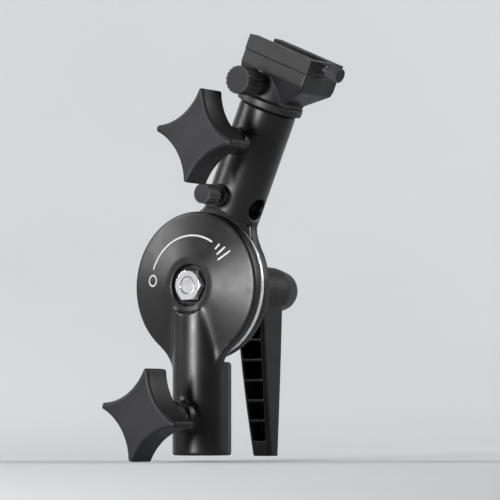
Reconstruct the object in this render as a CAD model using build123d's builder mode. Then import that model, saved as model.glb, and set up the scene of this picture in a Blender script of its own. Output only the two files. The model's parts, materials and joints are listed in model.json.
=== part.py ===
from build123d import *

# Tilting umbrella bracket for a studio stand, with a swivelling cold shoe on its arm.
# Millimetres. The origin is the centre of the stand socket's mouth, +Z runs up the socket, the
# tilt axis runs along Y, the knobs face -Y and the ratchet lever is on the +Y side. At rest the
# arm leans towards +X.

import os
from math import cos, pi, radians, sin, sqrt

os.makedirs("parts", exist_ok=True)

# ---------------------------------------------------------------- driving dimensions

# Tilt joint
PIVOT_Z = 76.2  # tilt axis above the socket's mouth
TILT = 23.75  # the arm's lean at rest, degrees
DISC_R = 33.5
FACE_Y = 1.1  # each casting's mating face, from the joint plane
RIM_Y = 6.1  # outer edge of each disc
CROWN_Y = 10.5  # spot face round the pivot
CROWN_R = 12.8
RIM_BEVEL = 1.2
SWEEP_R = 36.5  # the other casting's tube is cut back to this radius
FRICTION_R = 33.7
STUD_R = 4.0  # M8
STUD_HOLE_R = 4.2
NUT_FLATS = 13.0
NUT_H = 6.5
NUT_FACE_Y = -11.2
NUT_CORNER = 1.2  # how far the corners stand out past the flats
NUT_BEVEL_H = 0.7
RECESS_R = 9.25
RECESS_DEPTH = 2.5

# Tubes and sockets
STAND_TUBE_R = 13.25
ARM_TUBE_R = 13.0
ARM_TUBE_Y = 3.0  # the arm's tube sits this far behind the joint plane
ARM_TOP = 86.2  # from the pivot, along the arm
TUBE_START = 8.0  # from the pivot
SOCKET_R = 8.1
SOCKET_DEPTH = 36.0
TUBE_BEVEL = 0.5
WEB_FILLET = 17.0  # between disc and tube
GAP = 0.1  # between faces that rub
EDGE_BREAK = 0.3

# Star knobs
STAND_KNOB_Z = 17.95
SPIGOT_KNOB_AT = 68.9  # from the pivot, along the arm
STAR_R = 20.75
STAR_WAIST_R = 11.6
STAR_TIP_W = 2.6
STAR_TURN = 12.0  # clockwise, seen from the front
STAR_BACK = 33.4  # from the tube's axis
STAR_THICK = 14.0
STAR_NECK_END = 19.9
STAR_NECK_R = 6.4
STAR_NECK_FLARE = 1.4
STAR_NECK_BEVEL = 0.6
STAR_BEVEL = 1.0
STAR_BOSS_R = 5.9
BOSS_HEIGHT = 3.5  # above the tube's surface
CLAMP_R = 4.0  # M8
HEAD_FLATS = 13.0
HEAD_AT = 38.0
HEAD_H = 5.0
PAD_TIP = SOCKET_R + GAP / 2
PAD_R = 3.6
PAD_H = 2.5
PIN_SHARE = 0.45  # the screw's pin, as a share of its pad's radius and height

# Thumb knobs
FLUTES = 18
FLUTE_SHARE = 0.09  # a flute's radius, as a share of its knob's
FLUTE_OUTSET = 1.03  # where the flutes' centres lie, as a share of the knob's radius
HUB_H = 0.8
KNOB_WALL = 1.5  # over the end of the screw
THUMB_PAD_H = 1.6
THUMB_PAD_LESS = 0.3  # a thumb screw's pad is this much less in radius than the screw

# Umbrella hole and its thumb screw
UMBRELLA_AT = 43.3  # from the pivot, along the arm
UMBRELLA_HOLE_R = 5.0
UMBRELLA_TILT = 5.5  # the hole's +X end leans towards the pivot
UMBRELLA_BOSS_R = 4.7
UMBRELLA_BOSS_TOP = 15.0  # from the tube's axis
UMBRELLA_KNOB_R = 4.5
UMBRELLA_KNOB_START = 17.6
UMBRELLA_KNOB_TOP = 26.7
UMBRELLA_HUB_R = 3.8
M5_R = 2.5

# Ratchet lever
COLLAR_R = 8.0
WASHER_H = 1.6
COLLAR_H = 2.5
TEETH = 24
TOOTH_TIP_R = 7.0
TOOTH_ROOT_R = 6.2
TOOTH_GAP = 0.15
TOOTH_H = 5.0
LEVER_START_Y = 15.0
LEVER_END_Y = 64.8
LEVER_R = 10.8
LEVER_TAPER_Y = 52.0
LEVER_END_R = 7.6
LEVER_SHOULDER_R = 9.9  # half way along the rounded end
LEVER_MOUTH_BEVEL = 0.8
LEVER_BACK_Y = 53.0
LEVER_DROP = 77.0
LEVER_WALL = 2.0
LEVER_SECTIONS = ((0, 16.4, 17.5), (34, 14.2, 14.0), (LEVER_DROP, 10.5, 7.0))  # drop, width, depth
POCKET_TOP = 14.0
POCKET_BOTTOM = 70.0
POCKET_SECTIONS = ((POCKET_TOP, 15.5, 20.0), (34, 14.2, 16.0), (POCKET_BOTTOM, 11.1, 9.0))
LEVER_RIBS = 5
RIB_THICK = 1.2
LEVER_CORNER = 1.8
INSERT_R = 9.0
INSERT_END_Y = 32.0
SPRING_TURNS = 7
SPRING_WIRE_R = 0.55
SPRING_COIL_R = 3.9
LEVER_BORE_R = 5.2
SCREW_HEAD_Y = 48.0
SCREW_HEAD_R = 4.25
SCREW_HEAD_H = 4.0
SCREW_KEY_R = 2.0
SCREW_KEY_DEPTH = 2.5

# Shoe adapter, heights measured from the pivot along the arm
SPIGOT_R = 8.0
SPIGOT_BOTTOM = 54.0
SPIGOT_GROOVE_R = 6.9
SPIGOT_GROOVE_H = 10.0
SPIGOT_BEVEL = 1.0
PIN_R = 5.0
PIN_TOP = 102.6
PIN_WAIST_R = 4.2  # where the neck screw bears
PIN_WAIST_H = 6.0
PIN_BEVEL = 0.6
PIN_END_GAP = 0.4
FLANGE_R = 15.0
FLANGE_BOTTOM = 86.6
FLANGE_TOP = 90.2
NECK_R = 12.6
NECK_SCREW_AT = 96.5
BLOCK_LEFT = -14.0
BLOCK_RIGHT = 22.0
BLOCK_TOP = 108.5
BLOCK_SLOPE_BOTTOM = 92.0  # the underside slopes up from the neck to the right end
BLOCK_SLOPE_TOP = 99.2
BLOCK_CORNER = 1.2
BLOCK_LEFT_BOTTOM = 97.0
BLOCK_LEFT_FOOT = 94.0
BLOCK_FLARE_TOP = 102.5  # seen from the end, the sides flare out up to here
BLOCK_FLARE_HALF_W = 7.0  # at the flange
SHOE_HALF_W = 12.5
PLATE_H = 2.5
SLOT_HALF_W = 9.3
SLOT_H = 2.2
LIP_HALF_W = 6.25
LIP_H = 1.8
NECK_BOSS_R = 4.6
NECK_BOSS_TOP = 16.2  # from the arm's axis
NECK_KNOB_R = 6.2
NECK_KNOB_START = 18.2
NECK_KNOB_TOP = 29.6
NECK_HUB_R = 4.0
LOCK_TIP_R = 0.9  # small enough for the slot's height
LOCK_KNOB_R = 3.2
LOCK_KNOB_START = 23.8
LOCK_KNOB_TOP = 30.6
LOCK_HUB_R = 2.6
STOP_WALL = 3.4
M3_R = 1.5
M3_HEAD_R = 2.8
M3_AT = (-9.0, 9.5)
M3_LENGTH = 6.5
M3_HOLE_DEPTH = 7.0
CROSS_L = 3.4
CROSS_W = 0.8
CROSS_DEPTH = 1.1
M4_R = 2.0

# ---------------------------------------------------------------- frames

LEAN = radians(TILT)
ARM_X = (cos(LEAN), 0, -sin(LEAN))
ARM_Z = (sin(LEAN), 0, cos(LEAN))


def on_arm(along, across=0.0, y=ARM_TUBE_Y):
    """A point given by its distance along the arm, across it and its y."""
    return Vector(
        along * sin(LEAN) + across * cos(LEAN),
        y,
        PIVOT_Z + along * cos(LEAN) - across * sin(LEAN),
    )


PIVOT = (0, 0, PIVOT_Z)
# Casting frames: z is the disc's outward side, y runs from the pivot down or up the tube.
LOWER = Plane(origin=PIVOT, x_dir=(-1, 0, 0), z_dir=(0, -1, 0))
UPPER = Plane(origin=PIVOT, x_dir=(-ARM_X[0], 0, -ARM_X[2]), z_dir=(0, 1, 0))
# The stud's and the lever's frame: z is the row's +Y, y points down.
STUD = Plane(origin=PIVOT, x_dir=(1, 0, 0), z_dir=(0, 1, 0))
# The arm's own frame: z along the arm's tube, from the pivot.
ARM = Plane(origin=on_arm(0), x_dir=ARM_X, z_dir=ARM_Z)
# Clamp frames: z points out of the tube towards the knob, from the tube's axis.
STAND_CLAMP = Plane(origin=(0, 0, STAND_KNOB_Z), x_dir=(1, 0, 0), z_dir=(0, -1, 0))
SPIGOT_CLAMP = Plane(origin=on_arm(SPIGOT_KNOB_AT), x_dir=(1, 0, 0), z_dir=(0, -1, 0))
UMBRELLA_CLAMP = Plane(origin=on_arm(UMBRELLA_AT), x_dir=(1, 0, 0), z_dir=(0, -1, 0))
NECK_CLAMP = Plane(origin=on_arm(NECK_SCREW_AT), x_dir=(1, 0, 0), z_dir=(0, -1, 0))
UMBRELLA_HOLE = Plane(
    origin=on_arm(UMBRELLA_AT),
    x_dir=(0, 1, 0),
    z_dir=(cos(radians(TILT + UMBRELLA_TILT)), 0, -sin(radians(TILT + UMBRELLA_TILT))),
)
SLOT_FLOOR = BLOCK_TOP + PLATE_H
LOCK_AT = SLOT_FLOOR + SLOT_H / 2
LOCK_CLAMP = Plane(origin=on_arm(LOCK_AT), x_dir=(0, 1, 0), z_dir=ARM_X)


def side_plane(frame):
    """The plane of a frame's x and z axes, for profiles revolved round its z axis."""
    return Plane(origin=frame.origin, x_dir=frame.x_dir, z_dir=-frame.y_dir)


def save(piece, label):
    """Name a finished piece and write it."""
    piece.part.label = label
    export_step(piece.part, f"parts/{label}.step")


# ---------------------------------------------------------------- castings


def disc_profile():
    """Half section of a disc: plain mating face, bevelled rim, shallow cone, flat crown."""
    with BuildLine() as outline:
        Polyline(
            (0, FACE_Y),
            (DISC_R, FACE_Y),
            (DISC_R, RIM_Y - RIM_BEVEL / 2),
            (DISC_R - RIM_BEVEL, RIM_Y),
            (CROWN_R, CROWN_Y),
            (0, CROWN_Y),
            close=True,
        )
    return outline.line


def web_outline(tube_r, tube_offset):
    """Outline that blends the disc into the tube with two tangent arcs."""
    half = sqrt(tube_r**2 - (RIM_Y - tube_offset) ** 2)
    reach = sqrt((DISC_R + WEB_FILLET) ** 2 - (half + WEB_FILLET) ** 2)
    share = DISC_R / (DISC_R + WEB_FILLET)
    on_disc = ((half + WEB_FILLET) * share, reach * share)
    on_tube = (half, reach)
    # The arc's middle lies on the line from its centre to the corner of the two tangents.
    centre = Vector(half + WEB_FILLET, reach)
    inward = (Vector(*on_disc) + Vector(*on_tube)) * 0.5 - centre
    middle = centre + inward.normalized() * WEB_FILLET
    with BuildLine() as outline:
        ThreePointArc(on_disc, (middle.X, middle.Y), on_tube)
        Line(on_tube, (0, reach))
        Line((0, reach), (0, 0))
        Line((0, 0), on_disc)
        mirror(about=Plane.YZ)
    return outline.line


def casting(frame, tube_r, tube_offset, tube_end):
    """One half of the joint: disc, web and tube with its blind socket."""
    tube_axis = Plane(origin=frame.from_local_coords((0, 0, tube_offset)), z_dir=frame.y_dir)
    with BuildPart() as half:
        with BuildSketch(tube_axis.offset(TUBE_START)):
            Circle(tube_r)
        extrude(amount=tube_end - TUBE_START)
        chamfer(half.faces().sort_by(Axis(frame.origin, frame.y_dir))[-1].edges(), TUBE_BEVEL)
        # Everything in the other casting's way, and the ridge over the crown, is cut off.
        with BuildSketch(frame.offset(FACE_Y)):
            Circle(SWEEP_R)
        extrude(amount=-3 * tube_r, mode=Mode.SUBTRACT)
        with BuildSketch(frame.offset(CROWN_Y)):
            Circle(CROWN_R)
        extrude(amount=tube_r, mode=Mode.SUBTRACT)
        with BuildSketch(side_plane(frame)):
            add(disc_profile())
            make_face()
        revolve(axis=Axis(frame.origin, frame.z_dir))
        with BuildSketch(frame.offset(FACE_Y)):
            add(web_outline(tube_r, tube_offset))
            make_face()
        extrude(amount=RIM_Y - FACE_Y)
        with BuildSketch(tube_axis.offset(tube_end)):
            Circle(SOCKET_R)
        extrude(amount=-SOCKET_DEPTH, mode=Mode.SUBTRACT)
        with BuildSketch(frame):
            Circle(STUD_HOLE_R)
        extrude(amount=tube_r + tube_offset, mode=Mode.SUBTRACT)
    return half.part


with BuildPart() as lower_body:
    add(casting(LOWER, STAND_TUBE_R, 0.0, PIVOT_Z))
    with BuildSketch(STAND_CLAMP.offset(SOCKET_R + 1)):
        Circle(STAR_BOSS_R)
    extrude(amount=STAND_TUBE_R + BOSS_HEIGHT - SOCKET_R - 1)
    with BuildSketch(STAND_CLAMP):
        Circle(CLAMP_R + GAP / 2)
    extrude(amount=STAND_TUBE_R + BOSS_HEIGHT, mode=Mode.SUBTRACT)
    with BuildSketch(LOWER.offset(CROWN_Y)):
        Circle(RECESS_R)
    extrude(amount=-RECESS_DEPTH, mode=Mode.SUBTRACT)
    with BuildSketch(LOWER.offset(CROWN_Y - RECESS_DEPTH)):
        RegularPolygon(NUT_FLATS / 2 + GAP, 6, major_radius=False)
    extrude(amount=-(CROWN_Y - RECESS_DEPTH + NUT_FACE_Y + NUT_H), mode=Mode.SUBTRACT)

save(lower_body, "lower_body")

with BuildPart() as upper_body:
    add(casting(UPPER, ARM_TUBE_R, ARM_TUBE_Y, ARM_TOP))
    with BuildSketch(SPIGOT_CLAMP.offset(SOCKET_R + 1)):
        Circle(STAR_BOSS_R)
    extrude(amount=ARM_TUBE_R + BOSS_HEIGHT - SOCKET_R - 1)
    with BuildSketch(SPIGOT_CLAMP):
        Circle(CLAMP_R + GAP / 2)
    extrude(amount=ARM_TUBE_R + BOSS_HEIGHT, mode=Mode.SUBTRACT)
    with BuildSketch(UMBRELLA_CLAMP):
        Circle(UMBRELLA_BOSS_R)
    extrude(amount=UMBRELLA_BOSS_TOP)
    with BuildSketch(UMBRELLA_CLAMP):
        Circle(M5_R + GAP / 2)
    extrude(amount=UMBRELLA_BOSS_TOP, mode=Mode.SUBTRACT)
    with BuildSketch(UMBRELLA_HOLE):
        Circle(UMBRELLA_HOLE_R)
    extrude(amount=2 * ARM_TUBE_R, both=True, mode=Mode.SUBTRACT)

save(upper_body, "upper_body")

# ---------------------------------------------------------------- tilt joint

with BuildPart() as friction_disc:
    with BuildSketch(STUD.offset(-FACE_Y)):
        Circle(FRICTION_R)
        Circle(STUD_HOLE_R, mode=Mode.SUBTRACT)
    extrude(amount=2 * FACE_Y - GAP)
    chamfer(friction_disc.edges().filter_by(GeomType.CIRCLE).group_by(SortBy.RADIUS)[-1], EDGE_BREAK)

save(friction_disc, "friction_disc")

with BuildPart() as pivot_nut:
    with BuildSketch(STUD.offset(NUT_FACE_Y)):
        RegularPolygon(NUT_FLATS / 2, 6, major_radius=False)
    extrude(amount=NUT_H)
    # The corners are turned off at 30 degrees at both ends.
    with BuildSketch(side_plane(STUD)):
        with BuildLine():
            Polyline(
                (0, NUT_FACE_Y),
                (NUT_FLATS / 2, NUT_FACE_Y),
                (NUT_FLATS / 2 + NUT_CORNER, NUT_FACE_Y + NUT_BEVEL_H),
                (NUT_FLATS / 2 + NUT_CORNER, NUT_FACE_Y + NUT_H - NUT_BEVEL_H),
                (NUT_FLATS / 2, NUT_FACE_Y + NUT_H),
                (0, NUT_FACE_Y + NUT_H),
                close=True,
            )
        make_face()
    revolve(axis=Axis(STUD.origin, STUD.z_dir), mode=Mode.INTERSECT)
    with BuildSketch(STUD.offset(NUT_FACE_Y)):
        Circle(STUD_R + GAP / 2)
    extrude(amount=NUT_H, mode=Mode.SUBTRACT)

save(pivot_nut, "pivot_nut")

WASHER_Y = CROWN_Y + GAP / 2
COLLAR_Y = WASHER_Y + WASHER_H + GAP / 2
TEETH_Y = COLLAR_Y + COLLAR_H
TEETH_END_Y = TEETH_Y + TOOTH_H

with BuildPart() as thrust_washer:
    with BuildSketch(STUD.offset(WASHER_Y)):
        Circle(COLLAR_R)
        Circle(STUD_HOLE_R, mode=Mode.SUBTRACT)
    extrude(amount=WASHER_H)
    chamfer(thrust_washer.edges().filter_by(GeomType.CIRCLE).group_by(SortBy.RADIUS)[-1], EDGE_BREAK)

save(thrust_washer, "thrust_washer")


def toothed_ring(tip_r, root_r):
    """Closed outline of a ring of pointed teeth."""
    half_tooth = pi / TEETH
    points = []
    for tooth in range(TEETH):
        angle = 2 * half_tooth * tooth
        points.append((tip_r * cos(angle), tip_r * sin(angle)))
        points.append((root_r * cos(angle + half_tooth), root_r * sin(angle + half_tooth)))
    with BuildLine() as outline:
        Polyline(*points, close=True)
    return outline.line


with BuildPart() as joint_stud:
    with BuildSketch(STUD.offset(NUT_FACE_Y)):
        Circle(STUD_R)
    extrude(amount=COLLAR_Y - NUT_FACE_Y)
    chamfer(joint_stud.faces().sort_by(Axis.Y)[0].edges(), 2 * EDGE_BREAK)
    with BuildSketch(STUD.offset(COLLAR_Y)):
        Circle(COLLAR_R)
    extrude(amount=COLLAR_H)
    with BuildSketch(STUD.offset(TEETH_Y)):
        add(toothed_ring(TOOTH_TIP_R, TOOTH_ROOT_R))
        make_face()
    extrude(amount=TOOTH_H)
    with BuildSketch(STUD.offset(TEETH_END_Y)):
        Circle(M5_R)
    extrude(amount=-TOOTH_H - COLLAR_H - WASHER_H, mode=Mode.SUBTRACT)

save(joint_stud, "joint_stud")

# ---------------------------------------------------------------- ratchet lever

with BuildPart() as lever_screw:
    with BuildSketch(STUD.offset(TEETH_Y - WASHER_H)):
        Circle(M5_R)
    extrude(amount=SCREW_HEAD_Y - TEETH_Y + WASHER_H)
    with BuildSketch(STUD.offset(SCREW_HEAD_Y)):
        Circle(SCREW_HEAD_R)
    extrude(amount=SCREW_HEAD_H)
    chamfer(lever_screw.faces().sort_by(Axis.Y)[-1].edges(), EDGE_BREAK)
    with BuildSketch(STUD.offset(SCREW_HEAD_Y + SCREW_HEAD_H)):
        RegularPolygon(SCREW_KEY_R, 6, major_radius=False)
    extrude(amount=-SCREW_KEY_DEPTH, mode=Mode.SUBTRACT)

save(lever_screw, "lever_screw")

with BuildPart() as lever_insert:
    with BuildSketch(STUD.offset(LEVER_START_Y)):
        Circle(INSERT_R)
    extrude(amount=INSERT_END_Y - LEVER_START_Y)
    with BuildSketch(STUD.offset(INSERT_END_Y)):
        Circle(M5_R + 2 * GAP)
    extrude(amount=LEVER_START_Y - INSERT_END_Y, mode=Mode.SUBTRACT)
    with BuildSketch(STUD.offset(LEVER_START_Y)):
        add(toothed_ring(TOOTH_TIP_R + TOOTH_GAP, TOOTH_ROOT_R + TOOTH_GAP))
        make_face()
    extrude(amount=TEETH_END_Y - LEVER_START_Y + GAP, mode=Mode.SUBTRACT)

save(lever_insert, "lever_insert")


# The handle is hollow from the front, with cross ribs left standing in the hollow.
with BuildPart() as lever_pocket:
    for drop, width, depth in POCKET_SECTIONS:
        plane = Plane(origin=(0, LEVER_BACK_Y, PIVOT_Z - drop), x_dir=(1, 0, 0), z_dir=(0, 0, -1))
        with BuildSketch(plane):
            with Locations((0, LEVER_WALL + depth / 2)):
                Rectangle(width - 2 * LEVER_WALL, depth)
    loft()
    for rib in range(1, LEVER_RIBS + 1):
        rib_drop = POCKET_TOP + rib * (POCKET_BOTTOM - POCKET_TOP) / (LEVER_RIBS + 1)
        with Locations((0, LEVER_BACK_Y - LEVER_R, PIVOT_Z - rib_drop)):
            Box(2 * LEVER_R, 2 * LEVER_R, RIB_THICK, mode=Mode.SUBTRACT)

with BuildPart() as lever_handle:
    with BuildSketch(side_plane(STUD)):
        with BuildLine():
            Polyline(
                (0, LEVER_START_Y),
                (LEVER_R - LEVER_MOUTH_BEVEL, LEVER_START_Y),
                (LEVER_R, LEVER_START_Y + LEVER_MOUTH_BEVEL),
                (LEVER_R, LEVER_TAPER_Y),
            )
            Spline(
                (LEVER_R, LEVER_TAPER_Y),
                (LEVER_SHOULDER_R, (LEVER_TAPER_Y + LEVER_END_Y) / 2),
                (LEVER_END_R, LEVER_END_Y),
                tangents=((0, 1), (-1, 1)),
            )
            Polyline((LEVER_END_R, LEVER_END_Y), (0, LEVER_END_Y), (0, LEVER_START_Y))
        make_face()
    revolve(axis=Axis(STUD.origin, STUD.z_dir))
    for drop, width, depth in LEVER_SECTIONS:
        plane = Plane(origin=(0, LEVER_BACK_Y, PIVOT_Z - drop), x_dir=(1, 0, 0), z_dir=(0, 0, -1))
        with BuildSketch(plane):
            with Locations((0, depth / 2)):
                RectangleRounded(width, depth, LEVER_CORNER)
    loft()
    with BuildSketch(STUD.offset(LEVER_START_Y)):
        Circle(INSERT_R)
    extrude(amount=INSERT_END_Y - LEVER_START_Y, mode=Mode.SUBTRACT)
    with BuildSketch(STUD.offset(INSERT_END_Y)):
        Circle(LEVER_BORE_R)
    extrude(amount=LEVER_END_Y - INSERT_END_Y, mode=Mode.SUBTRACT)
    add(lever_pocket.part, mode=Mode.SUBTRACT)

save(lever_handle, "lever_handle")

with BuildPart() as lever_spring:
    spring_foot = INSERT_END_Y + SPRING_WIRE_R + GAP
    spring_height = SCREW_HEAD_Y - INSERT_END_Y - 2 * (SPRING_WIRE_R + GAP)
    with BuildLine() as coil:
        add(
            Helix(
                pitch=spring_height / SPRING_TURNS,
                height=spring_height,
                radius=SPRING_COIL_R,
                center=STUD.offset(spring_foot).origin,
                direction=STUD.z_dir,
            )
        )
    with BuildSketch(Plane(origin=coil.line @ 0, z_dir=coil.line % 0)):
        Circle(SPRING_WIRE_R)
    sweep(path=coil.line, is_frenet=True)

save(lever_spring, "lever_spring")

# ---------------------------------------------------------------- clamp screws and their knobs


def clamp_pad(frame, tip, radius, height):
    """Swivel pad at a clamp screw's tip, with a blind hole for the screw's pin."""
    with BuildPart() as pad:
        with BuildSketch(frame.offset(tip)):
            Circle(radius)
        extrude(amount=height)
        chamfer(pad.edges().filter_by(GeomType.CIRCLE), min(EDGE_BREAK, radius / 4))
        with BuildSketch(frame.offset(tip + height)):
            Circle(radius * PIN_SHARE + GAP / 2)
        extrude(amount=-height * PIN_SHARE - GAP, mode=Mode.SUBTRACT)
    return pad


def clamp_screw(frame, shoulder, end, radius, pad_radius, pad_height):
    """Plain-shanked clamp screw with a pin that turns in its pad."""
    with BuildPart() as screw:
        with BuildSketch(frame.offset(shoulder + GAP / 2)):
            Circle(radius)
        extrude(amount=end - shoulder - GAP / 2)
        chamfer(screw.edges().filter_by(GeomType.CIRCLE), EDGE_BREAK)
        with BuildSketch(frame.offset(shoulder + GAP / 2)):
            Circle(pad_radius * PIN_SHARE)
        extrude(amount=-pad_height * PIN_SHARE)
    return screw


def star_screw(frame):
    """M8 clamp screw with a hexagon head that is moulded into the star knob."""
    with BuildPart() as screw:
        add(clamp_screw(frame, PAD_TIP + PAD_H, HEAD_AT, CLAMP_R, PAD_R, PAD_H).part)
        with BuildSketch(frame.offset(HEAD_AT)):
            RegularPolygon(HEAD_FLATS / 2, 6, major_radius=False)
        extrude(amount=HEAD_H)
    return screw


def star_outline():
    """Four-pointed star with hollow sides and blunt tips."""
    with BuildLine() as outline:
        for corner in range(4):
            turn = 90 * corner - STAR_TURN
            tip = Vector(STAR_R, STAR_TIP_W / 2).rotate(Axis.Z, turn)
            waist = Vector(STAR_WAIST_R, 0).rotate(Axis.Z, turn + 45)
            next_tip = Vector(STAR_R, -STAR_TIP_W / 2).rotate(Axis.Z, turn + 90)
            ThreePointArc(tip, waist, next_tip)
            Line(next_tip, Vector(STAR_R, STAR_TIP_W / 2).rotate(Axis.Z, turn + 90))
    return outline.line


def star_knob(frame):
    """Moulded star knob with a tapered neck, bored for its screw."""
    with BuildPart() as knob:
        with BuildSketch(frame.offset(STAR_BACK)):
            add(star_outline())
            make_face()
        extrude(amount=STAR_THICK)
        chamfer(knob.faces().sort_by(Axis.Y)[0].edges(), STAR_BEVEL)
        with BuildSketch(side_plane(frame)):
            with BuildLine():
                Polyline(
                    (0, STAR_NECK_END),
                    (STAR_NECK_R - STAR_NECK_BEVEL, STAR_NECK_END),
                    (STAR_NECK_R, STAR_NECK_END + STAR_NECK_BEVEL),
                    (STAR_NECK_R + STAR_NECK_FLARE, STAR_BACK),
                    (0, STAR_BACK),
                    close=True,
                )
            make_face()
        revolve(axis=Axis(frame.origin, frame.z_dir))
        with BuildSketch(frame.offset(STAR_NECK_END)):
            Circle(CLAMP_R)
        extrude(amount=HEAD_AT - STAR_NECK_END, mode=Mode.SUBTRACT)
        with BuildSketch(frame.offset(HEAD_AT)):
            RegularPolygon(HEAD_FLATS / 2, 6, major_radius=False)
        extrude(amount=HEAD_H, mode=Mode.SUBTRACT)
    return knob


def thumb_knob(frame, start, top, radius, hub_r, screw_r):
    """Round fluted thumb knob with a plain hub, bored for its screw."""
    with BuildPart() as knob:
        with BuildSketch(frame.offset(start + HUB_H)):
            Circle(radius)
            with PolarLocations(radius * FLUTE_OUTSET, FLUTES):
                Circle(radius * FLUTE_SHARE, mode=Mode.SUBTRACT)
        extrude(amount=top - start - HUB_H)
        with BuildSketch(frame.offset(start)):
            Circle(hub_r)
        extrude(amount=HUB_H)
        with BuildSketch(frame.offset(start)):
            Circle(screw_r)
        extrude(amount=top - KNOB_WALL - start, mode=Mode.SUBTRACT)
    return knob


def save_thumb_screw(name, pad_name, frame, tip, pad_r, screw_r, start, top, knob_r, hub_r):
    """A thumb screw's pad, screw and knob. Its sizes are measured from the frame's origin."""
    shoulder = tip + THUMB_PAD_H
    save(clamp_pad(frame, tip, pad_r, THUMB_PAD_H), pad_name)
    save(clamp_screw(frame, shoulder, top - KNOB_WALL, screw_r, pad_r, THUMB_PAD_H), f"{name}_screw")
    save(thumb_knob(frame, start, top, knob_r, hub_r, screw_r), f"{name}_knob")


for name, frame in (("stand", STAND_CLAMP), ("spigot", SPIGOT_CLAMP)):
    save(clamp_pad(frame, PAD_TIP, PAD_R, PAD_H), f"{name}_pad")
    save(star_screw(frame), f"{name}_screw")
    save(star_knob(frame), f"{name}_knob")

save_thumb_screw(
    "umbrella",
    "umbrella_pad",
    UMBRELLA_CLAMP,
    tip=UMBRELLA_HOLE_R + GAP / 2,
    pad_r=M5_R - THUMB_PAD_LESS,
    screw_r=M5_R,
    start=UMBRELLA_KNOB_START,
    top=UMBRELLA_KNOB_TOP,
    knob_r=UMBRELLA_KNOB_R,
    hub_r=UMBRELLA_HUB_R,
)
save_thumb_screw(
    "neck",
    "neck_pad",
    NECK_CLAMP,
    tip=PIN_R + GAP,
    pad_r=M5_R - THUMB_PAD_LESS,
    screw_r=M5_R,
    start=NECK_KNOB_START,
    top=NECK_KNOB_TOP,
    knob_r=NECK_KNOB_R,
    hub_r=NECK_HUB_R,
)
save_thumb_screw(
    "lock",
    "lock_tip",
    LOCK_CLAMP,
    tip=BLOCK_RIGHT - STOP_WALL + GAP,
    pad_r=LOCK_TIP_R,
    screw_r=M4_R,
    start=LOCK_KNOB_START,
    top=LOCK_KNOB_TOP,
    knob_r=LOCK_KNOB_R,
    hub_r=LOCK_HUB_R,
)

# ---------------------------------------------------------------- shoe adapter

with BuildPart() as shoe_spigot:
    with BuildSketch(side_plane(ARM)):
        with BuildLine():
            Polyline(
                (0, SPIGOT_BOTTOM),
                (SPIGOT_R - SPIGOT_BEVEL, SPIGOT_BOTTOM),
                (SPIGOT_R, SPIGOT_BOTTOM + SPIGOT_BEVEL),
                (SPIGOT_R, SPIGOT_KNOB_AT - SPIGOT_GROOVE_H / 2 - SPIGOT_BEVEL),
                (SPIGOT_GROOVE_R, SPIGOT_KNOB_AT - SPIGOT_GROOVE_H / 2),
                (SPIGOT_GROOVE_R, SPIGOT_KNOB_AT + SPIGOT_GROOVE_H / 2),
                (SPIGOT_R, SPIGOT_KNOB_AT + SPIGOT_GROOVE_H / 2 + SPIGOT_BEVEL),
                (SPIGOT_R, ARM_TOP),
                (PIN_R, ARM_TOP),
                (PIN_R, NECK_SCREW_AT - PIN_WAIST_H / 2),
                (PIN_WAIST_R, NECK_SCREW_AT - PIN_WAIST_H / 2 + PIN_BEVEL),
                (PIN_WAIST_R, NECK_SCREW_AT + PIN_WAIST_H / 2 - PIN_BEVEL),
                (PIN_R, NECK_SCREW_AT + PIN_WAIST_H / 2),
                (PIN_R, PIN_TOP - PIN_BEVEL),
                (PIN_R - PIN_BEVEL, PIN_TOP),
                (0, PIN_TOP),
                close=True,
            )
        make_face()
    revolve(axis=Axis(ARM.origin, ARM.z_dir))

save(shoe_spigot, "shoe_spigot")

# The block's side and end profiles are drawn in planes through the arm's axis.
BLOCK_SIDE = Plane(origin=ARM.origin, x_dir=ARM.x_dir, z_dir=-ARM.y_dir)
BLOCK_END = Plane(origin=ARM.origin, x_dir=ARM.y_dir, z_dir=ARM.x_dir)

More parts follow.
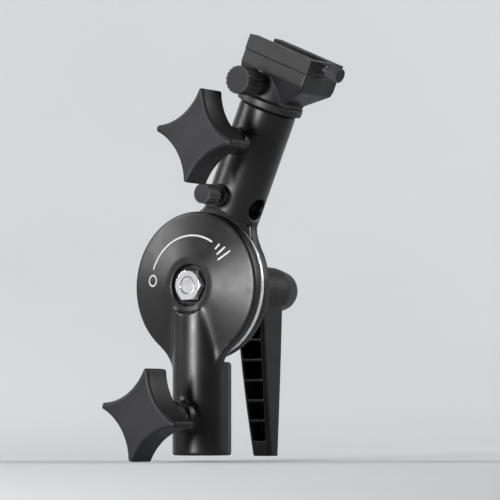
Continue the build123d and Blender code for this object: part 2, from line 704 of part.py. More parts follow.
with BuildPart() as shoe_body:
    with BuildSketch(BLOCK_SIDE):
        with BuildLine():
            Polyline(
                (NECK_R, FLANGE_TOP),
                (NECK_R, BLOCK_SLOPE_BOTTOM),
                (BLOCK_RIGHT - BLOCK_CORNER, BLOCK_SLOPE_TOP),
                (BLOCK_RIGHT, BLOCK_SLOPE_TOP + BLOCK_CORNER),
                (BLOCK_RIGHT, BLOCK_TOP),
                (BLOCK_LEFT, BLOCK_TOP),
                (BLOCK_LEFT, BLOCK_LEFT_BOTTOM),
                (-NECK_R, BLOCK_LEFT_FOOT),
                (-NECK_R, FLANGE_TOP),
                close=True,
            )
        make_face()
    extrude(amount=SHOE_HALF_W, both=True)
    with BuildSketch(BLOCK_END):
        with BuildLine():
            Polyline(
                (-BLOCK_FLARE_HALF_W, FLANGE_TOP),
                (-SHOE_HALF_W, BLOCK_FLARE_TOP),
                (-SHOE_HALF_W, BLOCK_TOP),
                (SHOE_HALF_W, BLOCK_TOP),
                (SHOE_HALF_W, BLOCK_FLARE_TOP),
                (BLOCK_FLARE_HALF_W, FLANGE_TOP),
                close=True,
            )
        make_face()
    extrude(amount=2 * BLOCK_RIGHT, both=True, mode=Mode.INTERSECT)
    with BuildSketch(ARM.offset(FLANGE_BOTTOM)):
        Circle(FLANGE_R)
    extrude(amount=FLANGE_TOP - FLANGE_BOTTOM)
    with BuildSketch(ARM.offset(FLANGE_TOP)):
        Circle(NECK_R)
    extrude(amount=BLOCK_FLARE_TOP - FLANGE_TOP)
    with BuildSketch(NECK_CLAMP.offset(PIN_R + 1)):
        Circle(NECK_BOSS_R)
    extrude(amount=NECK_BOSS_TOP - PIN_R - 1)
    with BuildSketch(NECK_CLAMP):
        Circle(M5_R + GAP / 2)
    extrude(amount=NECK_BOSS_TOP, mode=Mode.SUBTRACT)
    with BuildSketch(ARM.offset(FLANGE_BOTTOM)):
        Circle(PIN_R + GAP)
    extrude(amount=PIN_TOP + PIN_END_GAP - FLANGE_BOTTOM, mode=Mode.SUBTRACT)
    with BuildSketch(ARM.offset(BLOCK_TOP)):
        with Locations(*((at, 0) for at in M3_AT)):
            Circle(M3_R)
    extrude(amount=-M3_HOLE_DEPTH, mode=Mode.SUBTRACT)

save(shoe_body, "shoe_body")

with BuildPart() as shoe_plate:
    with BuildSketch(BLOCK_END.offset(BLOCK_LEFT)):
        with BuildLine():
            Polyline(
                (-SHOE_HALF_W, BLOCK_TOP),
                (SHOE_HALF_W, BLOCK_TOP),
                (SHOE_HALF_W, SLOT_FLOOR + SLOT_H + LIP_H),
                (LIP_HALF_W, SLOT_FLOOR + SLOT_H + LIP_H),
                (LIP_HALF_W, SLOT_FLOOR + SLOT_H),
                (SLOT_HALF_W, SLOT_FLOOR + SLOT_H),
                (SLOT_HALF_W, SLOT_FLOOR),
                (-SLOT_HALF_W, SLOT_FLOOR),
                (-SLOT_HALF_W, SLOT_FLOOR + SLOT_H),
                (-LIP_HALF_W, SLOT_FLOOR + SLOT_H),
                (-LIP_HALF_W, SLOT_FLOOR + SLOT_H + LIP_H),
                (-SHOE_HALF_W, SLOT_FLOOR + SLOT_H + LIP_H),
                close=True,
            )
        make_face()
    extrude(amount=BLOCK_RIGHT - BLOCK_LEFT)
    # The stop wall closes the slot's +X end and carries the lock screw.
    with BuildSketch(BLOCK_END.offset(BLOCK_RIGHT)):
        with Locations((0, SLOT_FLOOR + (SLOT_H + LIP_H) / 2)):
            Rectangle(2 * SLOT_HALF_W, SLOT_H + LIP_H)
    extrude(amount=-STOP_WALL)
    with BuildSketch(LOCK_CLAMP.offset(BLOCK_RIGHT)):
        Circle(M4_R + GAP / 2)
    extrude(amount=-STOP_WALL, mode=Mode.SUBTRACT)
    with Locations(*(ARM.offset(SLOT_FLOOR).location * Location((at, 0, 0)) for at in M3_AT)):
        CounterSinkHole(M3_R + GAP, M3_HEAD_R + GAP, depth=PLATE_H)

save(shoe_plate, "shoe_plate")

with BuildPart() as shoe_plate_screws:
    for at in M3_AT:
        screw_axis = Plane(origin=ARM.from_local_coords((at, 0, 0)), x_dir=ARM.x_dir, z_dir=ARM.z_dir)
        with BuildSketch(side_plane(screw_axis)):
            with BuildLine():
                Polyline(
                    (0, BLOCK_TOP - M3_LENGTH),
                    (M3_R, BLOCK_TOP - M3_LENGTH),
                    (M3_R, SLOT_FLOOR - M3_HEAD_R + M3_R),
                    (M3_HEAD_R, SLOT_FLOOR),
                    (0, SLOT_FLOOR),
                    close=True,
                )
            make_face()
        revolve(axis=Axis(screw_axis.origin, screw_axis.z_dir))
        with BuildSketch(screw_axis.offset(SLOT_FLOOR)):
            Rectangle(CROSS_L, CROSS_W)
            Rectangle(CROSS_W, CROSS_L)
        extrude(amount=-CROSS_DEPTH, mode=Mode.SUBTRACT)

save(shoe_plate_screws, "shoe_plate_screws")
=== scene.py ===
import json
from math import cos, pi, radians, sin

import bmesh
import bpy
import numpy as np
from mathutils import Matrix, Vector


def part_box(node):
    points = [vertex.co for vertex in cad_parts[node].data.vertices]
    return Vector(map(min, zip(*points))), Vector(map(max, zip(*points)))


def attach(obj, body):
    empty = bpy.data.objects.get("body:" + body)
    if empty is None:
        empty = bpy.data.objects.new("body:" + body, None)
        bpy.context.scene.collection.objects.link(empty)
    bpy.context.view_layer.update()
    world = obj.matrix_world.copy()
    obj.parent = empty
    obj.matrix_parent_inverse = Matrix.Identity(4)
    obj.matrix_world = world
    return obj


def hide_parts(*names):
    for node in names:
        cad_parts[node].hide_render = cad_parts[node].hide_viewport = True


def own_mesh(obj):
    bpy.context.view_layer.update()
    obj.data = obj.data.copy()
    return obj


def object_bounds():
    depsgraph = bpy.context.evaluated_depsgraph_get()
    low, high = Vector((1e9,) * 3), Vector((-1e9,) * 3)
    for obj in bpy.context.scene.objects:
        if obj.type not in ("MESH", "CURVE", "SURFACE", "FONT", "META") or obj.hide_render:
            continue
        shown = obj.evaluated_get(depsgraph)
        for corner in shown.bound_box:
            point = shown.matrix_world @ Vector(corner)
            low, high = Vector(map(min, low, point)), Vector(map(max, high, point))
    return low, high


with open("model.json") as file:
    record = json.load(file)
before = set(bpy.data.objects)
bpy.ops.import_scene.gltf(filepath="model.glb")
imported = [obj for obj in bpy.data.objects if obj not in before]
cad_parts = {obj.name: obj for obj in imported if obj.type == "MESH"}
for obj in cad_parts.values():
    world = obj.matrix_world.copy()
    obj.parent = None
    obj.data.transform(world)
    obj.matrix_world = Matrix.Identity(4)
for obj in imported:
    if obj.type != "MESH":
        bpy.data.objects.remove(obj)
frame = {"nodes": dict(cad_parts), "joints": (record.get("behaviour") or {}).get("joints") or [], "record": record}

CAD_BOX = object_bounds()
MM = 0.001

# ---------------------------------------------------------------- places, from the frame

JOINTS = {joint["name"]: joint for joint in frame["joints"]}
NODES = frame["nodes"]
BODY_OF = {
    node: body for body, nodes in frame["record"]["behaviour"]["bodies"].items() for node in nodes
}
SLOT_OF = {part["node"]: part["material_slot"] for part in frame["record"]["subparts"]}
PIVOT = Vector(JOINTS["tilt"]["pos_m"])
ARM_Z = Vector(JOINTS["spigot_swivel"]["axis"]).normalized()
ARM_X = Vector((ARM_Z.z, 0, -ARM_Z.x))
ARM_TUBE_Y = Vector(JOINTS["spigot_swivel"]["pos_m"]).y


def placed(origin, x_axis, z_axis):
    """A frame's matrix from its origin, x axis and z axis."""
    z_axis = Vector(z_axis).normalized()
    x_axis = Vector(x_axis).normalized()
    y_axis = z_axis.cross(x_axis)
    matrix = Matrix((x_axis, y_axis, z_axis)).transposed().to_4x4()
    matrix.translation = Vector(origin)
    return matrix


UPRIGHT = Matrix.Identity(4)
ARM = placed(PIVOT + Vector((0, ARM_TUBE_Y, 0)), ARM_X, ARM_Z)
# Frames whose z axis is a screw's axis, pointing from the clamped thing to the knob.
STUD = placed(PIVOT, (1, 0, 0), (0, 1, 0))
CLAMPS = {
    name: placed(JOINTS[f"{name}_turn"]["pos_m"], x_axis, -Vector(JOINTS[f"{name}_turn"]["axis"]))
    for name, x_axis in (
        ("stand_clamp", (1, 0, 0)),
        ("spigot_clamp", (1, 0, 0)),
        ("umbrella_clamp", (1, 0, 0)),
        ("neck_clamp", (1, 0, 0)),
        ("shoe_lock", (0, 1, 0)),
    )
}

# ---------------------------------------------------------------- node helpers


def new_material(name):
    """A material with its node tree and its Principled shader."""
    material = bpy.data.materials.new(name)
    material.use_nodes = True
    return material, material.node_tree, material.node_tree.nodes["Principled BSDF"]


def object_coordinates(tree):
    """Where a point is in its own object's frame."""
    return tree.nodes.new("ShaderNodeTexCoord").outputs["Object"]


def noise(tree, scale, detail=4.0, roughness=0.55, stretch=None):
    """Noise in object space; stretch squeezes it along the axes."""
    node = tree.nodes.new("ShaderNodeTexNoise")
    node.inputs["Scale"].default_value = scale
    node.inputs["Detail"].default_value = detail
    node.inputs["Roughness"].default_value = roughness
    coordinates = object_coordinates(tree)
    if stretch:
        mapping = tree.nodes.new("ShaderNodeMapping")
        mapping.inputs["Scale"].default_value = stretch
        tree.links.new(coordinates, mapping.inputs["Vector"])
        coordinates = mapping.outputs["Vector"]
    tree.links.new(coordinates, node.inputs["Vector"])
    return node.outputs["Fac"]


def cells(tree, scale, smoothness=0.6):
    """Rounded cells, for the dimples of powder coat and spark-eroded plastic."""
    node = tree.nodes.new("ShaderNodeTexVoronoi")
    node.feature = "SMOOTH_F1"
    node.inputs["Scale"].default_value = scale
    node.inputs["Smoothness"].default_value = smoothness
    tree.links.new(object_coordinates(tree), node.inputs["Vector"])
    return node.outputs["Distance"]


def remap(tree, value, from_low, from_high, to_low, to_high):
    """A value moved from one range into another, and held within it."""
    node = tree.nodes.new("ShaderNodeMapRange")
    tree.links.new(value, node.inputs["Value"])
    node.inputs["From Min"].default_value = from_low
    node.inputs["From Max"].default_value = from_high
    node.inputs["To Min"].default_value = to_low
    node.inputs["To Max"].default_value = to_high
    return node.outputs["Result"]


def math_node(tree, operation, first, second):
    """A math node whose inputs are sockets or numbers."""
    node = tree.nodes.new("ShaderNodeMath")
    node.operation = operation
    node.use_clamp = operation != "ADD"
    for socket, value in zip(node.inputs, (first, second)):
        if isinstance(value, (int, float)):
            socket.default_value = value
        else:
            tree.links.new(value, socket)
    return node.outputs["Value"]


def blend_colour(tree, factor, first, second):
    """A colour mix; first and second are sockets or (r, g, b)."""
    node = tree.nodes.new("ShaderNodeMix")
    node.data_type = "RGBA"
    tree.links.new(factor, node.inputs["Factor"])
    for socket, value in ((node.inputs[6], first), (node.inputs[7], second)):
        if isinstance(value, tuple):
            socket.default_value = (*value, 1.0)
        else:
            tree.links.new(value, socket)
    return node.outputs[2]


def edge_mask(tree, radius, start=0.995, full=0.90):
    """1 on edges, 0 on plain faces, from how far a rounded normal turns away from the true one."""
    bevel = tree.nodes.new("ShaderNodeBevel")
    bevel.samples = 6
    bevel.inputs["Radius"].default_value = radius
    geometry = tree.nodes.new("ShaderNodeNewGeometry")
    dot = tree.nodes.new("ShaderNodeVectorMath")
    dot.operation = "DOT_PRODUCT"
    tree.links.new(bevel.outputs["Normal"], dot.inputs[0])
    tree.links.new(geometry.outputs["Normal"], dot.inputs[1])
    return remap(tree, dot.outputs["Value"], start, full, 0.0, 1.0)


def rounded_normal(tree, radius):
    """A normal that rounds the edges of a machined piece."""
    bevel = tree.nodes.new("ShaderNodeBevel")
    bevel.samples = 6
    bevel.inputs["Radius"].default_value = radius
    return bevel.outputs["Normal"]


def bump(tree, height, strength, distance, normal=None):
    """A normal that follows the slopes of a height, on top of another normal."""
    node = tree.nodes.new("ShaderNodeBump")
    node.inputs["Strength"].default_value = strength
    node.inputs["Distance"].default_value = distance
    tree.links.new(height, node.inputs["Height"])
    if normal:
        tree.links.new(normal, node.inputs["Normal"])
    return node.outputs["Normal"]


# ---------------------------------------------------------------- materials

PAINT_SPECULAR = 0.3
PLASTIC_SPECULAR = 0.2


def paint(name, dark, light, light_wear_and_highlight, rough_low, rough_high, grain):
    """Satin powder coat on cast metal: fine orange peel, cloudy gloss, and lighter edges that are partly rubbed
    wear and partly a painted highlight where the edges catch the light.
    """
    material, tree, shader = new_material(name)
    clouds = noise(tree, 55, 5)
    colour = blend_colour(tree, remap(tree, clouds, 0.35, 0.65, 0, 1), dark, light)
    specks = remap(tree, noise(tree, 1500, 2), 0.70, 0.78, 0, 0.5)
    colour = blend_colour(tree, specks, colour, light_wear_and_highlight)
    # Edges lightened in patches: partly rubbed wear, partly a painted highlight along the edges.
    patches = remap(tree, noise(tree, 260, 6, 0.7), 0.46, 0.66, 0, 1)
    rubbed_and_edge_highlight = math_node(tree, "MULTIPLY", edge_mask(tree, 0.7 * MM), patches)
    colour = blend_colour(tree, math_node(tree, "MULTIPLY", rubbed_and_edge_highlight, 0.55), colour, light_wear_and_highlight)
    tree.links.new(colour, shader.inputs["Base Color"])
    gloss = remap(tree, noise(tree, 130, 6, 0.6), 0.3, 0.7, rough_low, rough_high)
    tree.links.new(gloss, shader.inputs["Roughness"])
    peel = bump(tree, cells(tree, 1100), 0.16, grain, rounded_normal(tree, 0.35 * MM))
    fine = bump(tree, noise(tree, 3200, 3), 0.12, grain * 0.6, peel)
    wavy = bump(tree, noise(tree, 90, 2), 0.25, grain * 3, fine)
    tree.links.new(wavy, shader.inputs["Normal"])
    shader.inputs["Specular IOR Level"].default_value = PAINT_SPECULAR
    return material


def plastic(name, dark, light, pale, rough_low, rough_high, grain_scale, grain):
    """Moulded plastic with a spark-eroded grain, flow marks, and lighter edges that are partly polished by
    handling and partly a painted highlight on the bevels.
    """
    material, tree, shader = new_material(name)
    flow = noise(tree, 70, 5, 0.6, (1, 1, 2.5))
    colour = blend_colour(tree, remap(tree, flow, 0.35, 0.65, 0, 1), dark, light)
    # Lighter edges: partly handling wear, partly a painted highlight on the bevels.
    handled_and_edge_highlight = math_node(
        tree, "MULTIPLY", edge_mask(tree, 0.9 * MM), remap(tree, noise(tree, 180, 4), 0.4, 0.6, 0.3, 1)
    )
    colour = blend_colour(tree, math_node(tree, "MULTIPLY", handled_and_edge_highlight, 0.6), colour, pale)
    tree.links.new(colour, shader.inputs["Base Color"])
    gloss = remap(tree, noise(tree, 160, 5), 0.3, 0.7, rough_low, rough_high)
    tree.links.new(gloss, shader.inputs["Roughness"])
    grained = bump(tree, cells(tree, grain_scale, 0.4), 0.3, grain, rounded_normal(tree, 0.4 * MM))
    fine = bump(tree, noise(tree, grain_scale * 2.2, 2), 0.2, grain, grained)
    tree.links.new(fine, shader.inputs["Normal"])
    shader.inputs["Specular IOR Level"].default_value = PLASTIC_SPECULAR
    return material


def metal(name, dark, light, rough_low, rough_high, turned_along=None, line_scale=900, depth=0.02 * MM):
    """Bare or plated metal. turned_along is the object axis that its lathe lines run round."""
    material, tree, shader = new_material(name)
    shader.inputs["Metallic"].default_value = 1.0
    stains = noise(tree, 140, 6, 0.65)
    colour = blend_colour(tree, remap(tree, stains, 0.35, 0.7, 0, 1), light, dark)
    tree.links.new(colour, shader.inputs["Base Color"])
    gloss = remap(tree, noise(tree, 420, 5), 0.3, 0.7, rough_low, rough_high)
    tree.links.new(gloss, shader.inputs["Roughness"])
    normal = rounded_normal(tree, 0.15 * MM)
    if turned_along is not None:
        stretch = [0.02, 0.02, 0.02]
        stretch[turned_along] = 1.0
        lines = noise(tree, line_scale * 4, 3, 0.7, stretch)
        normal = bump(tree, lines, 0.35, depth, normal)
    scratches = noise(tree, 900, 4, 0.7, (1.0, 0.25, 0.6))
    tree.links.new(bump(tree, scratches, 0.1, depth, normal), shader.inputs["Normal"])
    return material


CAST_PAINT = paint(
    "cast_paint", (0.0032, 0.003, 0.0034), (0.006, 0.0056, 0.0062), (0.07, 0.07, 0.072), 0.31, 0.41,
    0.05 * MM,
)
ADAPTER_PAINT = paint(
    "adapter_paint", (0.006, 0.006, 0.007), (0.011, 0.011, 0.012), (0.07, 0.07, 0.075), 0.40, 0.52,
    0.04 * MM,
)
KNOB_PLASTIC = plastic(
    "knob_plastic", (0.0085, 0.0085, 0.0095), (0.013, 0.013, 0.0145), (0.13, 0.13, 0.135), 0.42, 0.54, 1900,
    0.035 * MM,
)
LEVER_PLASTIC = plastic(
    "lever_plastic", (0.008, 0.008, 0.009), (0.015, 0.015, 0.016), (0.06, 0.06, 0.065), 0.38, 0.52, 1500,
    0.03 * MM,
)
MARK_PAINT = paint(
    "mark_paint", (0.36, 0.36, 0.37), (0.46, 0.46, 0.47), (0.6, 0.6, 0.6), 0.35, 0.5, 0.02 * MM
)
CHROME = metal("chrome", (0.70, 0.70, 0.72), (0.84, 0.84, 0.86), 0.17, 0.24, depth=0.005 * MM)
TURNED_ALUMINIUM = metal("turned_aluminium", (0.60, 0.60, 0.61), (0.80, 0.80, 0.81), 0.24, 0.38, 1)
TURNED_STEEL = metal("turned_steel", (0.46, 0.46, 0.47), (0.58, 0.58, 0.59), 0.27, 0.36, 1, depth=0.008 * MM)
BARE_CASTING = metal("bored_casting", (0.40, 0.40, 0.41), (0.55, 0.55, 0.56), 0.28, 0.42, 2)
SPIGOT_ALUMINIUM = metal("spigot_aluminium", (0.50, 0.50, 0.52), (0.68, 0.68, 0.70), 0.22, 0.36, 2)
ZINC = metal("zinc_plate", (0.40, 0.40, 0.42), (0.58, 0.58, 0.60), 0.22, 0.40)
BRASS = metal("turned_brass", (0.50, 0.36, 0.14), (0.70, 0.52, 0.24), 0.24, 0.40)
BLACK_OXIDE = metal("black_oxide", (0.05, 0.05, 0.055), (0.10, 0.10, 0.105), 0.35, 0.5)

SLOT_MATERIALS = {
    "painted_metal": CAST_PAINT,
    "adapter_metal": ADAPTER_PAINT,
    "bright_aluminium": TURNED_ALUMINIUM,
    "chrome": CHROME,
    "steel": TURNED_STEEL,
    "screw_steel": ZINC,
    "brass": BRASS,
    "knob_plastic": KNOB_PLASTIC,
    "lever_plastic": LEVER_PLASTIC,
    "spigot_metal": SPIGOT_ALUMINIUM,
    "dark_screws": BLACK_OXIDE,
}

for node, cad_object in NODES.items():
    cad_object.data.materials.clear()
    cad_object.data.materials.append(SLOT_MATERIALS[SLOT_OF[node]])

# ---------------------------------------------------------------- making pieces


def new_piece(name, mesh, body, slot, place=UPRIGHT, replaced=()):
    """Put a mesh in the scene as a finished piece of a body. slot None is for painted marks."""
    piece = bpy.data.objects.new(name, mesh)
    bpy.context.scene.collection.objects.link(piece)
    piece.matrix_world = place
    mesh.materials.clear()
    mesh.materials.append(SLOT_MATERIALS[slot] if slot else MARK_PAINT)
    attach(piece, body)
    if replaced:
        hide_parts(*replaced)
    return piece


def relax(points, ends, counts, normals, share, rounds, filling=None):
    """Pull each point towards its neighbours' middle; where filling is given, only outwards there."""
    first, second = ends[:, 0], ends[:, 1]
    for _ in range(rounds):
        total = np.zeros_like(points)
        for axis in range(3):
            total[:, axis] = np.bincount(first, points[second, axis], len(points))
            total[:, axis] += np.bincount(second, points[first, axis], len(points))
        shift = total / counts[:, None] - points
        if filling is not None:
            outward = np.einsum("ij,ij->i", shift, normals)
            shift *= (filling * (outward > 0))[:, None]
        points += share * shift
    return points


def softened(node, place, voxel, rounds, fillet=None, fillet_rounds=0, keep=1.0, bored=None):
    """A cast or moulded part: the CAD shape with its edges rounded over.

    fillet gives the share, from 0 to 1, by which inner corners at each point may be filled.
    bored gives the points where a cutter has left the casting bare.
    """
    mesh = NODES[node].data.copy()
    mesh.transform(place.inverted())
    source = bpy.data.objects.new("source", mesh)
    bpy.context.scene.collection.objects.link(source)
    remesh = source.modifiers.new("even_mesh", "REMESH")
    remesh.mode = "VOXEL"
    remesh.voxel_size = voxel * 1.0
    shape = bpy.data.meshes.new_from_object(
        source.evaluated_get(bpy.context.evaluated_depsgraph_get())
    )
    bpy.data.objects.remove(source)
    points = np.empty(len(shape.vertices) * 3)
    shape.vertices.foreach_get("co", points)
    points = points.reshape(-1, 3)
    ends = np.empty(len(shape.edges) * 2, dtype=np.int64)
    shape.edges.foreach_get("vertices", ends)
    ends = ends.reshape(-1, 2)
    counts = np.maximum(np.bincount(ends.ravel(), minlength=len(points)), 1).astype(float)
    points = relax(points, ends, counts, None, 0.5, rounds)
    if fillet is not None:
        normals = np.empty(len(shape.vertices) * 3)
        shape.vertices.foreach_set("co", points.ravel())
        shape.update()
        shape.vertices.foreach_get("normal", normals)
        normals = normals.reshape(-1, 3)
        points = relax(points, ends, counts, normals, 0.9, fillet_rounds, fillet(points))
        points = relax(points, ends, counts, None, 0.5, 2)
    shape.vertices.foreach_set("co", points.ravel())
    shape.update()
    shape.shade_smooth()
    piece = new_piece(f"{node}_shell", shape, BODY_OF[node], SLOT_OF[node], place, (node,))
    if bored is not None:
        shape.materials.append(BARE_CASTING)
        middles = np.empty(len(shape.polygons) * 3)
        shape.polygons.foreach_get("center", middles)
        bare = bored(middles.reshape(-1, 3)).astype(np.int32)
        shape.polygons.foreach_set("material_index", bare)
    if keep < 1.0:
        lighter = piece.modifiers.new("lighter_mesh", "DECIMATE")
        lighter.ratio = keep
    return piece


def join_rings(builder, rings, closed=False):
    """Skin a row of rings with faces; the ends are capped unless the last ring meets the first."""
    pairs = list(zip(rings, rings[1:]))
    if closed:
        pairs.append((rings[-1], rings[0]))
    for first, second in pairs:
        for corner in range(len(first)):
            following = (corner + 1) % len(first)
            builder.faces.new((first[corner], first[following], second[following], second[corner]))
    if not closed:
        builder.faces.new(reversed(rings[0]))
        builder.faces.new(rings[-1])


def finished_mesh(name, builder, smooth_angle=40):
    """A bmesh turned into a mesh, shaded smooth except at sharp edges."""
    bmesh.ops.recalc_face_normals(builder, faces=builder.faces)
    limit = radians(smooth_angle)
    for edge in builder.edges:
        if len(edge.link_faces) == 2 and edge.calc_face_angle(0) > limit:
            edge.smooth = False
    for face in builder.faces:
        face.smooth = True
    mesh = bpy.data.meshes.new(name)
    builder.to_mesh(mesh)
    builder.free()
    return mesh


CONE_EDGE_Y = -4.2 * MM  # fillets of the lower casting start in front of this
ARM_BACK_Y = 2.2 * MM  # and those of the upper casting behind this
NUT_RECESS_R = 10.2 * MM
ARM_RIM_Z = 80 * MM
SOCKET_R = 8.4 * MM
SOCKET_FLOOR_Z = -39 * MM
FADE = 1.0 * MM  # how far a fillet takes to set in


def past(values, start):
    """0 up to the start, rising to 1 over the fade."""
    return np.clip((values - start) / FADE, 0, 1)


def disc_front(points):
    """Where the lower casting's ridge, crown and web meet its cone, in pivot coordinates."""
    reach = np.hypot(points[:, 0], points[:, 2])
    return past(-points[:, 1], -CONE_EDGE_Y) * past(reach, NUT_RECESS_R)


def disc_back(points):
    """The same for the upper casting, in the arm's coordinates."""
    reach = np.hypot(points[:, 0], points[:, 2])
    below_rim = past(-points[:, 2], -ARM_RIM_Z)
    return past(points[:, 1], ARM_BACK_Y) * past(reach, NUT_RECESS_R) * below_rim


def stand_bore(points):
    """The bored socket of the lower casting."""
    return (np.hypot(points[:, 0], points[:, 1]) < SOCKET_R) & (points[:, 2] < SOCKET_FLOOR_Z)


PIVOT_UPRIGHT = placed(PIVOT, (1, 0, 0), (0, 0, 1))
COARSE = 0.4 * MM
FINE = 0.35 * MM
FILLET_ROUNDS = 60
CASTING_KEEP = 0.35
MOULDING_KEEP = 0.5

softened("lower_body", PIVOT_UPRIGHT, COARSE, 5, disc_front, FILLET_ROUNDS, CASTING_KEEP, stand_bore)
softened("upper_body", ARM, COARSE, 5, disc_back, FILLET_ROUNDS, CASTING_KEEP)
softened("stand_knob", CLAMPS["stand_clamp"], COARSE, 6, keep=MOULDING_KEEP)
softened("spigot_knob", CLAMPS["spigot_clamp"], COARSE, 6, keep=MOULDING_KEEP)
softened("lever_handle", STUD, FINE, 4, keep=MOULDING_KEEP)
softened("shoe_body", ARM, FINE, 4, keep=MOULDING_KEEP)

# ---------------------------------------------------------------- marks on the disc

CONE_INNER = (12.8 * MM, 10.5 * MM)  # radius, and distance in front of the joint plane
CONE_OUTER = (32.3 * MM, 6.1 * MM)
MARK_PROUD = 0.28 * MM
MARK_SUNK = 0.5 * MM
MARK_SHOULDER = 0.6  # share of the half width, and of the height, where a mark's edge rounds off


def cone_front(radius):
    """How far the disc's cone stands in front of the joint plane."""
    share = (radius - CONE_INNER[0]) / (CONE_OUTER[0] - CONE_INNER[0])
    return CONE_INNER[1] + share * (CONE_OUTER[1] - CONE_INNER[1])


def raised_band(name, centre_line, half_width, closed=False):
    """A raised line on the cone. centre_line is a list of (x, z) points from the pivot."""
    builder = bmesh.new()
    rings = []
    count = len(centre_line)
    for index, point in enumerate(centre_line):
        before = centre_line[index - 1] if index or closed else point
        after = centre_line[(index + 1) % count] if index + 1 < count or closed else point
        along = (Vector(after) - Vector(before)).normalized()
        side = Vector((-along.y, along.x)) * half_width
        ring = []
        for across, proud in (
            (-1, -MARK_SUNK),
            (-1, MARK_SHOULDER * MARK_PROUD),
            (-MARK_SHOULDER, MARK_PROUD),
            (MARK_SHOULDER, MARK_PROUD),
            (1, MARK_SHOULDER * MARK_PROUD),
            (1, -MARK_SUNK),
        ):
            spot = Vector(point) + side * across
            ring.append(builder.verts.new((spot.x, -cone_front(spot.length) - proud, spot.y)))
        rings.append(ring)
    join_rings(builder, rings, closed)
    new_piece(name, finished_mesh(name, builder), "stand_half", None, PIVOT_UPRIGHT)


def on_disc(radius, degrees_round):
    """A point of the disc's front, by its radius in mm and its angle from +X."""
    turn = radians(degrees_round)
    return (radius * MM * cos(turn), radius * MM * sin(turn))


ARC_R = 22.5
ARC_START = 160
ARC_STEP = 2
ARC_POINTS = 52
LINE_HALF_W = 0.42 * MM
RING_PLACE = (21.5, 173)  # radius in mm, and angle
RING_R = 2.4 * MM
RING_HALF_W = 0.38 * MM
RING_POINTS = 24
TICKS = ((49, 3.0), (42, 5.0), (35, 7.0))  # angle, and length in mm
TICK_STEPS = 6

arc = [on_disc(ARC_R, ARC_START - ARC_STEP * step) for step in range(ARC_POINTS)]
raised_band("scale_arc", arc, LINE_HALF_W)

ring_centre = Vector(on_disc(*RING_PLACE))
ring_turns = [step / RING_POINTS * 2 * pi for step in range(RING_POINTS)]
circle = [tuple(ring_centre + Vector((cos(turn), sin(turn))) * RING_R) for turn in ring_turns]
raised_band("loose_ring", circle, RING_HALF_W, closed=True)

for number, (tick_angle, length) in enumerate(TICKS, start=1):
    reaches = [ARC_R + length * (step / TICK_STEPS - 0.5) for step in range(TICK_STEPS + 1)]
    raised_band(f"grip_tick_{number}", [on_disc(reach, tick_angle) for reach in reaches], LINE_HALF_W)

# ---------------------------------------------------------------- threads and spring

M8_PITCH = 1.25 * MM
M8_THREAD_R = 3.98 * MM
M8_THREAD_START = 10.7 * MM  # heights are from the socket's axis, towards the knob
M8_THREAD_END = 37.9 * MM
M8_NECK_R = 3.9 * MM
TIP_R = 1.6 * MM
TIP_START = 9.6 * MM
TIP_END = 10.69 * MM
NECK_AT = 37.95 * MM
HEX_START = 38.0 * MM
HEX_END = 43.0 * MM
HEX_CORNERS = 6
THREAD_DEPTH_SHARE = 0.6  # of the pitch
RINGS_PER_PITCH = 8


def threaded_screw(name, place, body, slot, start, end, radius, pitch, ends, replaced):
    """A screw with a helical thread inside its CAD outline; ends are (z, radius, corners) steps."""
    builder = bmesh.new()
    depth = THREAD_DEPTH_SHARE * pitch
    sides = 40

    def ring_at(height, size_at):
        turns = [side / sides * 2 * pi for side in range(sides)]
        return [
            builder.verts.new((size_at(turn) * cos(turn), size_at(turn) * sin(turn), height))
            for turn in turns
        ]

    def thread_at(height):
        fade = min(1.0, (height - start) / pitch + 0.2, (end - height) / pitch + 0.2)

        def size(turn):
            phase = (height / pitch + turn / (2 * pi)) % 1.0
            crest = min(1.0, max(0.0, 1.5 - abs(phase - 0.5) * 4))
            return radius - depth * (1 - crest * fade)

        return size

    def prism_at(size, corners):
        if corners == 0:
            return lambda turn: size
        slice_angle = 2 * pi / corners
        return lambda turn: size / cos((turn + slice_angle / 2) % slice_angle - slice_angle / 2)

    rings = [ring_at(height, prism_at(size, corners)) for height, size, corners in ends if height < start]
    steps = max(2, int((end - start) / pitch * RINGS_PER_PITCH))
    for step in range(steps + 1):
        height = start + (end - start) * step / steps
        rings.append(ring_at(height, thread_at(height)))
    rings += [ring_at(height, prism_at(size, corners)) for height, size, corners in ends if height >= end]
    join_rings(builder, rings)
    return new_piece(name, finished_mesh(name, builder, 50), body, slot, place, replaced)


def hex_flats(node):
    """Half the distance across a star screw's flats, from the CAD."""
    low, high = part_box(node)
    return (high[2] - low[2]) / 2


for socket in ("stand", "spigot"):
    node = f"{socket}_screw"
    flats = hex_flats(node)
    plain_ends = (
        (TIP_START, TIP_R, 0),
        (TIP_END, TIP_R, 0),
        (NECK_AT, M8_NECK_R, 0),
        (HEX_START, flats, HEX_CORNERS),
        (HEX_END, flats, HEX_CORNERS),
    )
    threaded_screw(
        f"{socket}_thread", CLAMPS[f"{socket}_clamp"], BODY_OF[node], "screw_steel",
        M8_THREAD_START, M8_THREAD_END, M8_THREAD_R, M8_PITCH, plain_ends, (node,),
    )


SPRING_TURNS = 7
SPRING_WIRE_R = 0.55 * MM
SPRING_STEPS = 28  # to a turn
SPRING_SIDES = 12


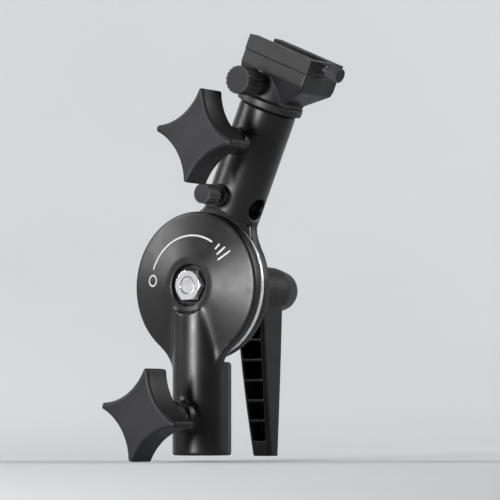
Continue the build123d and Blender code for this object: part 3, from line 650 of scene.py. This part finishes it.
def coil_spring():
    """The lever's spring, wound between the ends of its CAD box."""
    builder = bmesh.new()
    node = "lever_spring"
    low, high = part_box(node)
    start = low[1] + SPRING_WIRE_R - PIVOT.y
    end = high[1] - SPRING_WIRE_R - PIVOT.y
    coil_r = (high[0] - low[0]) / 2 - SPRING_WIRE_R
    steps = SPRING_TURNS * SPRING_STEPS
    round_wire = [side / SPRING_SIDES * 2 * pi for side in range(SPRING_SIDES)]
    rings = []
    for step in range(steps + 1):
        turn = step / steps * SPRING_TURNS * 2 * pi
        height = start + (end - start) * step / steps
        ring = []
        for around in round_wire:
            reach = coil_r + SPRING_WIRE_R * cos(around)
            spot = (reach * cos(turn), reach * sin(turn), height + SPRING_WIRE_R * sin(around))
            ring.append(builder.verts.new(spot))
        rings.append(ring)
    join_rings(builder, rings)
    mesh = finished_mesh("spring_coil", builder, 50)
    spring = new_piece("spring_coil", mesh, BODY_OF[node], SLOT_OF[node], STUD, (node,))
    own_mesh(spring)


coil_spring()

# ---------------------------------------------------------------- camera, lights and stage

VIEW_AZIMUTH = radians(36.6)
VIEW_DISTANCE = 1.25
CAMERA_DROP = 0.060  # camera below the pivot
TOWARDS_CAMERA = Vector((sin(VIEW_AZIMUTH), -cos(VIEW_AZIMUTH), 0))
FRAME_HEIGHT = 0.225  # what the picture spans at the object
SENSOR_WIDTH = 36

camera_data = bpy.data.cameras.new("camera")
camera = bpy.data.objects.new("camera", camera_data)
bpy.context.scene.collection.objects.link(camera)
camera.location = PIVOT + TOWARDS_CAMERA * VIEW_DISTANCE - Vector((0, 0, CAMERA_DROP))
low, high = (Vector(corner) for corner in CAD_BOX)
middle = (low + high) / 2
towards_object = middle - camera.location
camera.rotation_euler = towards_object.to_track_quat("-Z", "Y").to_euler()
camera_data.sensor_width = SENSOR_WIDTH
camera_data.lens = SENSOR_WIDTH * towards_object.length / FRAME_HEIGHT
camera_data.clip_end = 20
bpy.context.scene.camera = camera


def soft_light(name, azimuth, elevation, distance, width, height, power):
    """A rectangular soft box aimed at the object. Azimuth 0 is at -Y and 90 at +X."""
    data = bpy.data.lights.new(name, "AREA")
    data.shape = "RECTANGLE"
    data.size = width
    data.size_y = height
    data.energy = power
    light = bpy.data.objects.new(name, data)
    bpy.context.scene.collection.objects.link(light)
    turn, lift = radians(azimuth), radians(elevation)
    outward = Vector((sin(turn) * cos(lift), -cos(turn) * cos(lift), sin(lift)))
    light.location = middle + outward * distance
    light.rotation_euler = (-outward).to_track_quat("-Z", "Y").to_euler()
    return light


# name, azimuth, elevation, distance, width, height, power
for light_plan in (
    ("key_box", 0, 2.6, 1.0, 0.28, 0.26, 15.2),
    ("nut_card", -38, -1, 1.2, 0.16, 0.2, 0.12),
    ("right_edge", 122, 25, 1.3, 0.2, 0.9, 1.0),
    ("top_box", -10, 80, 1.1, 0.4, 0.4, 1.6),
    ("left_edge", -118, 20, 1.4, 0.15, 0.9, 1.2),
):
    soft_light(*light_plan)

world = bpy.data.worlds.new("studio")
bpy.context.scene.world = world
world.use_nodes = True
background = world.node_tree.nodes["Background"]
background.inputs["Color"].default_value = (0.86, 0.88, 0.90, 1)
background.inputs["Strength"].default_value = 0.05

STAGE_HALF_W = 2.6
STAGE_FRONT = 1.2
STAGE_BACK = 0.9  # where the floor starts to curve up
STAGE_BEND = 1.2
STAGE_TOP = 2.6
STAGE_STEPS = 32
STAGE_GAP = 0.2 * MM


def stage_sweep():
    """A pale floor that curves up into a backdrop, facing the camera."""
    builder = bmesh.new()
    outline = [(STAGE_FRONT, 0.0)]
    for step in range(STAGE_STEPS + 1):
        turn = step / STAGE_STEPS * pi / 2
        outline.append((-STAGE_BACK - STAGE_BEND * sin(turn), STAGE_BEND * (1 - cos(turn))))
    outline.append((-STAGE_BACK - STAGE_BEND, STAGE_TOP))
    rows = [
        [builder.verts.new((side * STAGE_HALF_W, -along, height)) for along, height in outline]
        for side in (-1, 1)
    ]
    for index in range(len(outline) - 1):
        builder.faces.new((rows[0][index], rows[1][index], rows[1][index + 1], rows[0][index + 1]))
    mesh = finished_mesh("stage", builder)
    stage = bpy.data.objects.new("stage", mesh)
    bpy.context.scene.collection.objects.link(stage)
    below_object = Matrix.Translation((middle.x, middle.y, low.z - STAGE_GAP))
    stage.matrix_world = below_object @ Matrix.Rotation(VIEW_AZIMUTH, 4, "Z")
    material, tree, shader = new_material("stage_paper")
    tone = remap(tree, noise(tree, 1.5, 3), 0.3, 0.7, 0, 1)
    paper = blend_colour(tree, tone, (0.56, 0.57, 0.58), (0.60, 0.61, 0.62))
    tree.links.new(paper, shader.inputs["Base Color"])
    tree.links.new(remap(tree, noise(tree, 40, 4), 0.3, 0.7, 0.8, 0.95), shader.inputs["Roughness"])
    shader.inputs["Specular IOR Level"].default_value = 0.0
    mesh.materials.append(material)


stage_sweep()

BACKDROP_POWER = 36
stage_centre = Vector((middle.x, middle.y, 0))
away = Matrix.Rotation(VIEW_AZIMUTH, 3, "Z")
for side_name, side in (("left", -1), ("right", 1)):
    backdrop = soft_light(f"backdrop_{side_name}", 0, 0, 1, 0.5, 1.2, BACKDROP_POWER)
    backdrop.location = stage_centre + away @ Vector((side * 1.6, 0.2, 0.9))
    target = stage_centre + away @ Vector((side * 0.15, 2.0, 0.35))
    backdrop.rotation_euler = (target - backdrop.location).to_track_quat("-Z", "Y").to_euler()
bpy.context.scene.view_settings.view_transform = "Standard"
